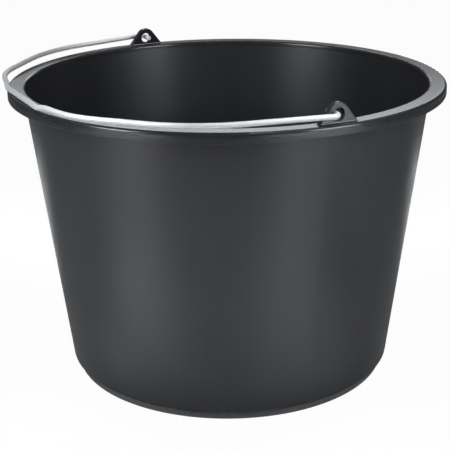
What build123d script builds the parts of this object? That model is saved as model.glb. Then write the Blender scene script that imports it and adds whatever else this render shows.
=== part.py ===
from build123d import *
import os
from math import asin, atan, cos, hypot, radians, sin, sqrt, tan

# A builders' bucket for mortar and cement: one plastic moulding and a wire bail.
# Millimetres. The origin is the centre of the base, on the ground. +Z is up, the ears
# stand at +X and -X, and the bail lies down towards -Y.

# Bucket
rim_diameter = 380.0
bucket_height = 259.5  # ground to the flat top of the rim
wall_thickness = 2.2
base_diameter = 292.0  # outside the wall, at its lower end
floor_thickness = 3.5
foot_inset = 4.5  # lower end of the wall to the outside of the foot ring
foot_height = 8.0
foot_thickness = 3.5

# Rim: a flat flange with a skirt turned down at its edge
rim_width = 15.0  # mouth to the edge of the rim
flange_thickness = 2.5
skirt_thickness = 2.5
skirt_depth = 8.5  # top of the rim to the skirt's lower edge

# Rounded corners of the moulding
rim_outer_round = 2.5
rim_inner_round = 2.2
skirt_edge_round = 0.8
channel_round = 1.5
wall_foot_round = 2.2
foot_edge_round = 1.0
floor_round = 8.0

# Ears that stand on the rim
ear_thickness = 4.5
ear_setback = 5.75  # edge of the rim to the outer face of the ear
ear_width = 33.8  # where the ear meets the rim
ear_turn = 0.48  # degrees about Z that the ears stand off the bail's pins, in the slack of the holes
ear_eye_wall = 4.6  # plastic round the hole
hole_height = 6.8  # hole's centre above the rim
hole_chamfer = 0.7
ear_edge_round = 0.7
ear_foot_round = 1.2

# Ribs in the rim's channel, a pair below each ear
rib_thickness = 2.5
rib_spacing = 24.0
rib_setback = 1.0  # skirt's lower edge to the lower edge of the rib

# Bail
wire_diameter = 4.5
pin_clearance = 2.35  # radial, in the ear's hole
pin_overhang = 6.75  # past the ear's inner face, with the bail centred
tip_chamfer = 0.5
elbow_radius = 5.0  # at the wire's centre, as are the other bends
side_play = 3.4  # each side, leg to the edge of the ear, with the bail centred
side_gap = 0.8  # left on the +X side, where the bail has slid up to its ear
seat_gap = 0.3  # below the grip, where it lies on the rim
leg_lean = 12.9  # degrees that the legs lean in
leg_length = 111.5  # elbow to the corner of leg and bow
leg_bend_radius = 120.0
grip_length = 80.5
grip_inset = 5.4  # edge of the rim to the centre of the grip
grip_drop = 1.9  # grip below the plane of the bow
crank_length = 13.0
crank_step = 3.0  # grip further out than the shoulders
crank_radius = 8.0
shoulder_angle = 11.0  # degrees that the shoulders lean back from the grip
shoulder_length = 37.5  # crank to the corner of shoulder and bow
shoulder_bend_radius = 85.0

# Radii and heights that follow from the sizes above
rim_radius = rim_diameter / 2
mouth_radius = rim_radius - rim_width
base_radius = base_diameter / 2
foot_radius = base_radius - foot_inset
wire_radius = wire_diameter / 2
hole_radius = wire_radius + pin_clearance
eye_radius = hole_radius + ear_eye_wall
hole_level = bucket_height + hole_height
floor_level = foot_height + floor_thickness
flange_level = bucket_height - flange_thickness
skirt_level = bucket_height - skirt_depth
ear_outer = rim_radius - ear_setback
ear_inner = ear_outer - ear_thickness


def wall_radius(level):
    """Outer radius of the tapered wall at a height above the ground."""
    taper = (mouth_radius + wall_thickness - base_radius) / (bucket_height - foot_height)
    return base_radius + taper * (level - foot_height)


# One ear: an upright plate with sloping flanks and a round top about its hole
with BuildPart() as ear:
    ear_root = flange_thickness / 2
    with BuildSketch(Plane.YZ.offset(ear_inner)):
        with Locations((0, bucket_height)):
            Rectangle(ear_width, ear_root, align=(Align.CENTER, Align.MAX))
        with Locations((0, hole_level)):
            Circle(eye_radius)
        make_hull()
        with Locations((0, hole_level)):
            Circle(hole_radius, mode=Mode.SUBTRACT)
    extrude(amount=ear_thickness)
    plate_edges = ear.faces().filter_by(Axis.X).edges()
    hole_edges = plate_edges.filter_by(GeomType.CIRCLE).group_by(SortBy.RADIUS)[0]
    root_edges = plate_edges.group_by(Axis.Z)[0]
    chamfer(hole_edges, hole_chamfer)
    fillet(plate_edges - hole_edges - root_edges, ear_edge_round)

# The bucket: wall, floor, foot ring and rim turned about Z, then the ears and the ribs
with BuildPart() as bucket:
    inner_base_radius = wall_radius(floor_level) - wall_thickness
    section = [
        ((0, floor_level), 0),
        ((inner_base_radius, floor_level), floor_round),
        ((mouth_radius, bucket_height), rim_inner_round),
        ((rim_radius, bucket_height), rim_outer_round),
        ((rim_radius, skirt_level), skirt_edge_round),
        ((rim_radius - skirt_thickness, skirt_level), skirt_edge_round),
        ((rim_radius - skirt_thickness, flange_level), 0),
        ((wall_radius(flange_level), flange_level), channel_round),
        ((base_radius, foot_height), wall_foot_round),
        ((foot_radius, foot_height), 0),
        ((foot_radius, 0), foot_edge_round),
        ((foot_radius - foot_thickness, 0), foot_edge_round),
        ((foot_radius - foot_thickness, foot_height), 0),
        ((0, foot_height), 0),
    ]
    corners = [corner for corner, _ in section]
    rounds = [radius for _, radius in section]
    with BuildSketch(Plane.XZ):
        with BuildLine():
            FilletPolyline(corners, radius=rounds, close=True)
        make_face()
    revolve(axis=Axis.Z)

    with PolarLocations(0, 2, ear_turn):
        add(ear.part)
    rim_top_edges = bucket.edges().filter_by_position(Axis.Z, bucket_height, bucket_height)
    ear_foot_edges = [edge for edge in rim_top_edges if abs(edge.center().X) > mouth_radius]
    fillet(ear_foot_edges, ear_foot_round)

    rib_side = rib_spacing / 2
    rib_start = sqrt((wall_radius(skirt_level) - wall_thickness / 2) ** 2 - rib_side**2)
    rib_end = sqrt((rim_radius - skirt_thickness / 2) ** 2 - rib_side**2)
    with BuildSketch(Plane.XY.offset(skirt_level + rib_setback).rotated((0, 0, ear_turn))):
        with GridLocations(rib_start + rib_end, rib_spacing, 2, 2):
            Rectangle(rib_end - rib_start, rib_thickness)
    extrude(amount=skirt_depth - rib_setback - flange_thickness / 2)

# The bail: wire along a path that is symmetrical about the middle of its grip.
# It lies on the rim and has slid towards -X, so that its +X leg is next to the ear.
lean = radians(leg_lean)
flank_slope = atan(2 * hole_height / ear_width) + asin(eye_radius / hypot(ear_width / 2, hole_height))
ear_reach = eye_radius / sin(flank_slope)  # hinge to the edge of the ear, level with the hole
half_span = ear_outer + side_play + wire_radius / cos(lean) + ear_reach * tan(lean)
pin_length = half_span - ear_inner + pin_overhang
slide = side_play - side_gap

# Corners of the path in the plane of the bow, before they are rounded
leg_end = (half_span - leg_length * sin(lean), leg_length * cos(lean))
grip_reach = rim_radius - grip_inset
shoulder_start = (grip_length / 2 + crank_length, grip_reach - crank_step)
fall = radians(shoulder_angle)
shoulder_end = (
    shoulder_start[0] + shoulder_length * cos(fall),
    shoulder_start[1] - shoulder_length * sin(fall),
)

# The bail leans down until its grip lies on the rim
seat_fall = hole_height - wire_radius - seat_gap
seat_tilt = asin(seat_fall / hypot(grip_reach, grip_drop)) - atan(grip_drop / grip_reach)
bail_plane = Plane(
    origin=(-slide, 0, hole_level),
    x_dir=(1, 0, 0),
    z_dir=(0, sin(seat_tilt), -cos(seat_tilt)),
)

with BuildPart() as bail:
    half_path = [
        (half_span - pin_length, 0, 0),
        (half_span, 0, 0),
        (*leg_end, 0),
        (*shoulder_end, 0),
        (*shoulder_start, 0),
        (grip_length / 2, grip_reach, grip_drop),
    ]
    half_bends = [elbow_radius, leg_bend_radius, shoulder_bend_radius, crank_radius, crank_radius]
    other_half = [(-x, y, z) for x, y, z in reversed(half_path)]
    with BuildLine(bail_plane) as wire_path:
        FilletPolyline(half_path + other_half, radius=half_bends + half_bends[::-1])
    with BuildSketch(Plane(origin=wire_path.line @ 0, z_dir=wire_path.line % 0)):
        Circle(wire_radius)
    sweep()
    chamfer(bail.faces().filter_by(GeomType.PLANE).edges(), tip_chamfer)

bucket.part.label = "bucket"
bail.part.label = "bail"

os.makedirs("parts", exist_ok=True)
export_step(bucket.part, "parts/bucket.step")
export_step(bail.part, "parts/bail.step")
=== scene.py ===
import math

import bmesh
import bpy
from mathutils import Matrix, Vector


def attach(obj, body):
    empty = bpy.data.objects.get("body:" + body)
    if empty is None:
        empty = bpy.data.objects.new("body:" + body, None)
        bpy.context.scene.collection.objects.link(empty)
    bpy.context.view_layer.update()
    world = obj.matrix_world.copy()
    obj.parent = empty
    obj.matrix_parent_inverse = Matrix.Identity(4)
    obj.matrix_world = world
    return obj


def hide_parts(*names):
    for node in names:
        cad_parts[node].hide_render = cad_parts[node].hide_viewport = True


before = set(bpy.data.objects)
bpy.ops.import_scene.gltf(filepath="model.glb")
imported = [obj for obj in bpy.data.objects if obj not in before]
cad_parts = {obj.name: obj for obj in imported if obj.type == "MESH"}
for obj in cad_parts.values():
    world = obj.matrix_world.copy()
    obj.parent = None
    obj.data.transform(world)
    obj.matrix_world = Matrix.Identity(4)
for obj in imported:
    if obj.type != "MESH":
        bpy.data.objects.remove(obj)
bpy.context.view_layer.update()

scene = bpy.context.scene

# Bucket
# One injection moulding in black plastic: the wall, floor, foot ring, flanged rim and both ears.
# It comes off the mould's core with a satin skin, soft flow marks and fine upright drag lines on its
# wall. The rounded lower edge of the wall is darkened with painted shade, and the foot ring is greyed by
# scuffs that also paint in a reflection of the bright floor.
plastic_black = (0.0205, 0.021, 0.0228, 1)
plastic_flow_mark = (0.0225, 0.023, 0.0250, 1)
# Painted shade: the wall's rounded lower edge is coloured darker than the plastic
painted_edge_shade = (0.004, 0.004, 0.0045, 1)
# Grey of scuffs on the foot ring, which is also a painted reflection of the bright floor
scuff_and_painted_reflection_grey = (0.115, 0.116, 0.120, 1)
plastic_ior = 1.55
satin_roughness = (0.30, 0.34)
rim_roughness = 0.18
scuff_roughness = 0.6
rim_heights = (0.2535, 0.2575)  # the satin gives way to the smooth rim between these
rim_round_radius = 0.1875  # from the bucket's axis to the middle of the rim's outer round
rim_round_height = 0.257
edge_start_heights = (0.0077, 0.0080)
edge_end_heights = (0.0098, 0.0108)
foot_heights = (0.0070, 0.0080)
wall_radii = (0.105, 0.135)  # the drag lines begin between these, so the floor has none
drag_across = 45
drag_along = 2.5
flow_patch_scale = 3.5
grain_scale = 900
scuff_scale = 260
scuff_span = (0.05, 0.45)
drag_relief = 0.12  # the drag lines' share of the relief, beside the grain's
skin_bump_strength = 0.15
skin_bump_depth = 0.00004


def add_node(tree, kind, inputs=None, **settings):
    """A node with its settings, and its inputs given as values or as sockets to link."""
    node = tree.nodes.new(kind)
    for name, value in settings.items():
        setattr(node, name, value)
    for socket, value in (inputs or {}).items():
        if isinstance(value, bpy.types.NodeSocket):
            tree.links.new(value, node.inputs[socket])
        else:
            node.inputs[socket].default_value = value
    return node


def calculate(tree, operation, *values):
    node = add_node(tree, "ShaderNodeMath", dict(enumerate(values)), operation=operation)
    return node.outputs["Value"]


def calculate_vector(tree, operation, *values):
    node = add_node(tree, "ShaderNodeVectorMath", dict(enumerate(values)), operation=operation)
    return node.outputs["Value" if operation == "LENGTH" else "Vector"]


def fade(tree, value, span, reach=(0, 1), **settings):
    """A number that goes from one end of its reach to the other while a value crosses a span."""
    inputs = {"Value": value, "From Min": span[0], "From Max": span[1]}
    inputs.update({"To Min": reach[0], "To Max": reach[1]})
    return add_node(tree, "ShaderNodeMapRange", inputs, **settings).outputs["Result"]


def blend(tree, share, first, second, kind="FLOAT"):
    """A mix of two numbers, vectors or colours, whose sockets on the Mix node go by number."""
    first_input, second_input, output = {"FLOAT": (2, 3, 0), "VECTOR": (4, 5, 1), "RGBA": (6, 7, 2)}[kind]
    inputs = {0: share, first_input: first, second_input: second}
    return add_node(tree, "ShaderNodeMix", inputs, data_type=kind).outputs[output]


def noise(tree, vector, scale, detail, roughness=0.5):
    inputs = {"Vector": vector, "Scale": scale, "Detail": detail, "Roughness": roughness}
    return add_node(tree, "ShaderNodeTexNoise", inputs).outputs["Fac"]


def lengthwise_lines_group():
    """Fine lines that a mould or a die draws along Z, and soft patches among them."""
    group = bpy.data.node_groups.new("lengthwise_lines", "ShaderNodeTree")
    group.interface.new_socket("Vector", in_out="INPUT", socket_type="NodeSocketVector")
    for name in ("Across", "Along", "Patch Scale"):
        group.interface.new_socket(name, in_out="INPUT", socket_type="NodeSocketFloat")
    for name in ("Lines", "Patches"):
        group.interface.new_socket(name, in_out="OUTPUT", socket_type="NodeSocketFloat")
    given = add_node(group, "NodeGroupInput").outputs
    scales = {"X": given["Across"], "Y": given["Across"], "Z": given["Along"]}
    stretch = add_node(group, "ShaderNodeCombineXYZ", scales).outputs["Vector"]
    drawn = calculate_vector(group, "MULTIPLY", given["Vector"], stretch)
    line_noise = noise(group, drawn, scale=1.0, detail=3.0, roughness=0.6)
    patch_noise = noise(group, given["Vector"], given["Patch Scale"], detail=3.0)
    noise_span = (0.2, 0.8)
    lines = fade(group, line_noise, noise_span, interpolation_type="SMOOTHERSTEP")
    patches = fade(group, patch_noise, noise_span, interpolation_type="SMOOTHERSTEP")
    add_node(group, "NodeGroupOutput", {"Lines": lines, "Patches": patches})
    return group


lengthwise_lines = lengthwise_lines_group()

moulded_black = bpy.data.materials.new("moulded_black_plastic")
moulded_black.use_nodes = True
tree = moulded_black.node_tree
place = add_node(tree, "ShaderNodeTexCoord").outputs["Object"]
height = add_node(tree, "ShaderNodeSeparateXYZ", {0: place}).outputs["Z"]

# The direction from the axis, with the height, makes the drag lines run up the wall
level = calculate_vector(tree, "MULTIPLY", place, (1, 1, 0))
upright = calculate_vector(tree, "MULTIPLY", place, (0, 0, 1))
outward = calculate_vector(tree, "NORMALIZE", level)
wall_place = calculate_vector(tree, "ADD", outward, upright)
radius = calculate_vector(tree, "LENGTH", level)
on_wall = fade(tree, radius, wall_radii)
drag = add_node(
    tree, "ShaderNodeGroup",
    {"Vector": wall_place, "Across": drag_across, "Along": drag_along, "Patch Scale": flow_patch_scale},
    node_tree=lengthwise_lines
).outputs
drag_lines = calculate(tree, "MULTIPLY", drag["Lines"], on_wall)

# The rim's outer edge is a true quarter round, so its shading is worked out from the round's middle
round_ring = calculate_vector(tree, "MULTIPLY", outward, (rim_round_radius, rim_round_radius, 0))
round_middle = calculate_vector(tree, "ADD", round_ring, (0, 0, rim_round_height))
from_middle = calculate_vector(tree, "SUBTRACT", place, round_middle)
round_normal = add_node(
    tree, "ShaderNodeVectorTransform", {0: from_middle},
    vector_type="NORMAL", convert_from="OBJECT", convert_to="WORLD"
).outputs["Vector"]
past_middle = calculate(tree, "GREATER_THAN", radius, rim_round_radius)
over_middle = calculate(tree, "GREATER_THAN", height, rim_round_height)
on_round = calculate(tree, "MULTIPLY", past_middle, over_middle)
plain_normal = add_node(tree, "ShaderNodeNewGeometry").outputs["Normal"]
smooth_normal = blend(tree, on_round, plain_normal, round_normal, "VECTOR")

# Flow marks along the drag lines, painted shade on the wall's lower edge, and wear that greys the foot ring
# and also paints in the floor's reflection
flow_share = calculate(tree, "MULTIPLY", drag["Patches"], drag_lines)
flow_colour = blend(tree, flow_share, plastic_black, plastic_flow_mark, "RGBA")
# Painted shade darkens a band at the wall's lower edge, between these heights
over_foot = fade(tree, height, edge_start_heights)
under_wall = fade(tree, height, edge_end_heights, (1, 0))
painted_shade_on_lower_edge = calculate(tree, "MULTIPLY", over_foot, under_wall)
colour_with_painted_shade = blend(tree, painted_shade_on_lower_edge, flow_colour, painted_edge_shade, "RGBA")
# Scuffs grey the foot ring, and the same grey paints in the floor's reflection there
on_foot = fade(tree, height, foot_heights, (1, 0))
scuff_break = fade(tree, noise(tree, place, scuff_scale, detail=4.0), scuff_span)
scuffs_and_painted_reflection = calculate(tree, "MULTIPLY", on_foot, scuff_break)
skin_colour = blend(tree, scuffs_and_painted_reflection, colour_with_painted_shade, scuff_and_painted_reflection_grey, "RGBA")

# The satin varies a little in patches. The rim is smoother, and the scuffs are rough.
skin_roughness = fade(tree, drag["Patches"], (0, 1), satin_roughness)
on_rim = fade(tree, height, rim_heights)
smoothed_roughness = blend(tree, on_rim, skin_roughness, rim_roughness)
worn_roughness = blend(tree, scuffs_and_painted_reflection, smoothed_roughness, scuff_roughness)

grain = noise(tree, place, grain_scale, detail=2.0)
relief = blend(tree, drag_relief, grain, drag_lines)
skin_bump = add_node(
    tree, "ShaderNodeBump",
    {"Strength": skin_bump_strength, "Distance": skin_bump_depth, "Height": relief, "Normal": smooth_normal}
)
skin = tree.nodes["Principled BSDF"]
skin.inputs["IOR"].default_value = plastic_ior
tree.links.new(skin_colour, skin.inputs["Base Color"])
tree.links.new(worn_roughness, skin.inputs["Roughness"])
tree.links.new(skin_bump.outputs["Normal"], skin.inputs["Normal"])

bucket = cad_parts["bucket"]
bucket.data.materials.clear()
bucket.data.materials.append(moulded_black)

# Bail
# A length of 4.5 mm galvanised steel wire, bent cold: two leaning legs, sloping shoulders and a
# straight grip that is cranked down. Its ends turn in as pins, sprung into the holes of the ears.
wire_radius = 0.002225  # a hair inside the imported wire
wire_segments = 28
tip_chamfer = 0.0005
bail_origin = Vector((-0.0026, 0, 0.2663))
bail_fall = math.radians(0.72946)
half_path = [
    Vector((0.173, 0, 0)),
    Vector((0.1926231, 0, 0)),
    Vector((0.1677307, 0.1086859, 0)),
    Vector((0.090061, 0.1744447, 0)),
    Vector((0.05325, 0.1816, 0)),
    Vector((0.04025, 0.1846, 0.0019)),
]
half_bends = [0.005, 0.12, 0.085, 0.008, 0.008]
bend_step = math.radians(6)
sharp_angle = math.radians(30)
zinc_bright = (0.95, 0.955, 0.96, 1)
zinc_dull = (0.82, 0.825, 0.84, 1)
zinc_roughness = (0.40, 0.58)
zinc_metallic = 0.5
die_across = 900
die_along = 22
zinc_patch_scale = 170
die_share = 0.5  # the die lines' share of the dullness, beside the patches'
die_bump_strength = 0.4
die_bump_depth = 0.00005

wire_path = half_path + [Vector((-x, y, z)) for x, y, z in reversed(half_path)]
wire_bends = half_bends + half_bends[::-1]
heading = (wire_path[1] - wire_path[0]).normalized()
start_frame = Matrix.Translation(wire_path[0]) @ heading.to_track_quat("Z", "Y").to_matrix().to_4x4()
tip_scale = (wire_radius - tip_chamfer) / wire_radius

wire = bmesh.new()
straight_wire = wire.verts.layers.float_vector.new("straight_wire")
ring = bmesh.ops.create_circle(
    wire, cap_ends=True, segments=wire_segments, radius=wire_radius, matrix=start_frame
)["verts"]
for vert in ring:
    vert[straight_wire] = start_frame.inverted() @ vert.co
bmesh.ops.scale(wire, vec=(tip_scale,) * 3, space=start_frame.inverted(), verts=ring)
ring_edges = wire.edges[:]
wire_length = 0.0


def draw_wire(length):
    """Draw the end of the wire on by one ring, which keeps its place on the wire before it is bent."""
    global ring, ring_edges, wire_length
    drawn = bmesh.ops.extrude_edge_only(wire, edges=ring_edges)["geom"]
    ring = [part for part in drawn if isinstance(part, bmesh.types.BMVert)]
    drawn_edges = [part for part in drawn if isinstance(part, bmesh.types.BMEdge)]
    ring_edges = [edge for edge in drawn_edges if edge.is_boundary]
    wire_length += length
    for vert in ring:
        vert[straight_wire].z = wire_length


def ring_middle():
    return sum((vert.co for vert in ring), Vector()) / len(ring)


def draw_straight(end):
    run = end - ring_middle()
    draw_wire(run.length)
    bmesh.ops.translate(wire, vec=run, verts=ring)


def size_end(scale):
    bmesh.ops.scale(wire, vec=(scale,) * 3, space=Matrix.Translation(-ring_middle()), verts=ring)


draw_straight(wire_path[0] + heading * tip_chamfer)
size_end(1 / tip_scale)
for corner, after, bend in zip(wire_path[1:-1], wire_path[2:], wire_bends):
    turned = (after - corner).normalized()
    angle = heading.angle(turned)
    axis = heading.cross(turned).normalized()
    bend_start = corner - heading * bend * math.tan(angle / 2)
    draw_straight(bend_start)
    centre = bend_start + axis.cross(heading) * bend
    steps = math.ceil(angle / bend_step)
    for _ in range(steps):
        draw_wire(bend * angle / steps)
        bmesh.ops.rotate(wire, cent=centre, matrix=Matrix.Rotation(angle / steps, 3, axis), verts=ring)
    heading = turned
draw_straight(wire_path[-1] - heading * tip_chamfer)
draw_straight(wire_path[-1])
size_end(tip_scale)
bmesh.ops.contextual_create(wire, geom=ring_edges)
bail_frame = Matrix.Translation(bail_origin) @ Matrix.Rotation(math.pi + bail_fall, 4, "X")
bmesh.ops.transform(wire, matrix=bail_frame, verts=wire.verts)
bmesh.ops.recalc_face_normals(wire, faces=wire.faces)
for face in wire.faces:
    face.smooth = True
wire_mesh = bpy.data.meshes.new("bail_wire")
wire.to_mesh(wire_mesh)
wire.free()
wire_mesh.set_sharp_from_angle(angle=sharp_angle)

galvanised = bpy.data.materials.new("galvanised_drawn_wire")
galvanised.use_nodes = True
tree = galvanised.node_tree
along_wire = add_node(tree, "ShaderNodeAttribute", attribute_name="straight_wire").outputs["Vector"]
die = add_node(
    tree, "ShaderNodeGroup",
    {"Vector": along_wire, "Across": die_across, "Along": die_along, "Patch Scale": zinc_patch_scale},
    node_tree=lengthwise_lines
).outputs
dullness = blend(tree, die_share, die["Patches"], die["Lines"])
zinc_colour = blend(tree, dullness, zinc_bright, zinc_dull, "RGBA")
wire_roughness = fade(tree, dullness, (0, 1), zinc_roughness)
die_bump = add_node(
    tree, "ShaderNodeBump",
    {"Strength": die_bump_strength, "Distance": die_bump_depth, "Height": die["Lines"]}
)
zinc = tree.nodes["Principled BSDF"]
zinc.inputs["Metallic"].default_value = zinc_metallic
tree.links.new(zinc_colour, zinc.inputs["Base Color"])
tree.links.new(wire_roughness, zinc.inputs["Roughness"])
tree.links.new(die_bump.outputs["Normal"], zinc.inputs["Normal"])

bail_wire = bpy.data.objects.new("bail_wire", wire_mesh)
scene.collection.objects.link(bail_wire)
wire_mesh.materials.append(galvanised)
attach(bail_wire, "bail")
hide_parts("bail")

# Studio floor and background
# A plain pale floor under a plain sky. The camera sees most of the floor as white and the rest as the
# light that falls on it, so the bucket keeps its shadow. The plastic mirrors the lit floor and a dim sky.
floor_pale = (0.58, 0.58, 0.58, 1)
plain_white = (1, 1, 1, 1)
floor_half = 8.0
floor_seen_white = 0.97
floor_mirrored_white = 0.02
mirrored_sky = [(0.4, 0.10), (0.8, 0.30)]  # sine of the height above the horizon, and brightness
world_fill = 0.025

scene.view_settings.view_transform = "Standard"
floor_form = bmesh.new()
bmesh.ops.create_grid(floor_form, x_segments=1, y_segments=1, size=floor_half)
floor_mesh = bpy.data.meshes.new("studio_floor")
floor_form.to_mesh(floor_mesh)
floor_form.free()
floor = bpy.data.objects.new("studio_floor", floor_mesh)
scene.collection.objects.link(floor)

floor_paint = bpy.data.materials.new("studio_floor_white")
floor_paint.use_nodes = True
tree = floor_paint.node_tree
tree.nodes.clear()
ray = add_node(tree, "ShaderNodeLightPath").outputs
mirrored = calculate(tree, "MAXIMUM", ray["Is Glossy Ray"], ray["Is Transmission Ray"])
mirrored_share = calculate(tree, "MULTIPLY", mirrored, floor_mirrored_white)
seen_share = calculate(tree, "MULTIPLY", ray["Is Camera Ray"], floor_seen_white)
white_share = calculate(tree, "MAXIMUM", seen_share, mirrored_share)
lit = add_node(tree, "ShaderNodeBsdfDiffuse", {"Color": floor_pale}).outputs["BSDF"]
white = add_node(tree, "ShaderNodeEmission", {"Color": plain_white, "Strength": 1.0}).outputs["Emission"]
floor_mix = add_node(tree, "ShaderNodeMixShader", {0: white_share, 1: lit, 2: white})
add_node(tree, "ShaderNodeOutputMaterial", {"Surface": floor_mix.outputs["Shader"]})
floor_mesh.materials.append(floor_paint)

world = bpy.data.worlds.new("studio_white")
scene.world = world
world.use_nodes = True
tree = world.node_tree
tree.nodes.clear()
ray = add_node(tree, "ShaderNodeLightPath").outputs
mirrored = calculate(tree, "MAXIMUM", ray["Is Glossy Ray"], ray["Is Transmission Ray"])
sky_way = add_node(tree, "ShaderNodeTexCoord").outputs["Generated"]
sky_height = add_node(tree, "ShaderNodeSeparateXYZ", {0: sky_way}).outputs["Z"]
sky = add_node(tree, "ShaderNodeValToRGB", {"Fac": sky_height})
for stop, (sine, brightness) in zip(sky.color_ramp.elements, mirrored_sky):
    stop.position = sine
    stop.color = (brightness, brightness, brightness, 1)
unseen_sky = blend(tree, mirrored, world_fill, sky.outputs["Color"])
sky_strength = calculate(tree, "MAXIMUM", ray["Is Camera Ray"], unseen_sky)
background = add_node(tree, "ShaderNodeBackground", {"Color": plain_white, "Strength": sky_strength})
add_node(tree, "ShaderNodeOutputWorld", {"Surface": background.outputs["Background"]})

# Studio lamps
# Two softboxes give the bright bands down the inside, and a low lamp behind lights the flat of the rim.
# Gridded strips over the floor light the bands that the wall mirrors, before and behind the bucket, and
# two wide floor lamps further out light the skirt.
camera_azimuth = math.radians(63.96)
toward_camera = Vector((math.sin(camera_azimuth), -math.cos(camera_azimuth), 0))
to_the_right = Vector((math.cos(camera_azimuth), math.sin(camera_azimuth), 0))
lamp_aim = Vector((0, 0, 0.15))
strip_height = 1.2
lamp_colour = (0.94, 0.97, 1.0)


def hang_lamp(name, lamp_place, turn, size, power, spread=180):
    light = bpy.data.lights.new(name, "AREA")
    light.shape = "RECTANGLE"
    light.size, light.size_y = size
    light.energy = power
    light.color = lamp_colour
    light.spread = math.radians(spread)
    lamp = bpy.data.objects.new(name, light)
    lamp.matrix_world = Matrix.Translation(lamp_place) @ turn
    lamp.visible_camera = False
    scene.collection.objects.link(lamp)


def softbox(name, angle, elevation, distance, size, power):
    """A lamp that faces the bucket, in degrees to the right of the camera's side and above the floor."""
    angle = math.radians(angle)
    elevation = math.radians(elevation)
    level_way = toward_camera * math.cos(angle) + to_the_right * math.sin(angle)
    way = level_way * math.cos(elevation) + Vector((0, 0, math.sin(elevation)))
    hang_lamp(name, lamp_aim + distance * way, way.to_track_quat("Z", "Y").to_matrix().to_4x4(), size, power)


def strip_lamp(name, toward, right, angle, size, power, spread):
    """A gridded strip over the floor, by its place toward and right of the camera, and its turn."""
    strip_place = toward_camera * toward + to_the_right * right + Vector((0, 0, strip_height))
    turn = Matrix.Rotation(camera_azimuth - math.pi + math.radians(angle), 4, "Z")
    hang_lamp(name, strip_place, turn, size, power, spread)


softbox("left_softbox", -55, 30, 1.0, (0.32, 0.5), 5.6)
softbox("right_softbox", 51, 28, 1.0, (0.34, 0.45), 4.6)
softbox("back_lamp", 178, 20, 2.6, (2.0, 0.3), 5.2)
strip_lamp("left_strip", 0.312, -0.346, -60, (0.06, 0.49), 0.57, 15)
strip_lamp("right_strip", 0.375, 0.245, 41, (0.06, 0.46), 0.43, 15)
strip_lamp("front_strip", 0.40, -0.03, 0, (0.25, 0.30), 0.14, 15)
strip_lamp("back_left_strip", -0.36, -0.30, -128, (0.06, 0.49), 0.55, 15)
strip_lamp("back_right_strip", -0.36, 0.30, 128, (0.06, 0.49), 0.45, 15)
strip_lamp("left_floor_lamp", 0.80, -0.82, -46, (0.6, 0.5), 6.0, 30)
strip_lamp("right_floor_lamp", 0.86, 0.78, 42, (0.8, 0.5), 9.0, 30)

# Camera
# It stands where the photograph was taken from, fitted to the ellipses of the rim and the foot.
# It has no shift and no depth of field.
camera_place = Vector((0.8913, -0.4389, 0.4735))
camera_aim = Vector((-0.0015, -0.0028, 0.1222))
camera_roll = Matrix.Rotation(math.radians(-0.7), 3, "Z")
camera_sensor = 36.0
camera_lens = 91.95

camera = bpy.data.cameras.new("camera")
camera.sensor_width = camera_sensor
camera.lens = camera_lens
camera_object = bpy.data.objects.new("camera", camera)
camera_turn = (camera_aim - camera_place).to_track_quat("-Z", "Y").to_matrix() @ camera_roll
camera_object.matrix_world = Matrix.Translation(camera_place) @ camera_turn.to_4x4()
scene.collection.objects.link(camera_object)
scene.camera = camera_object
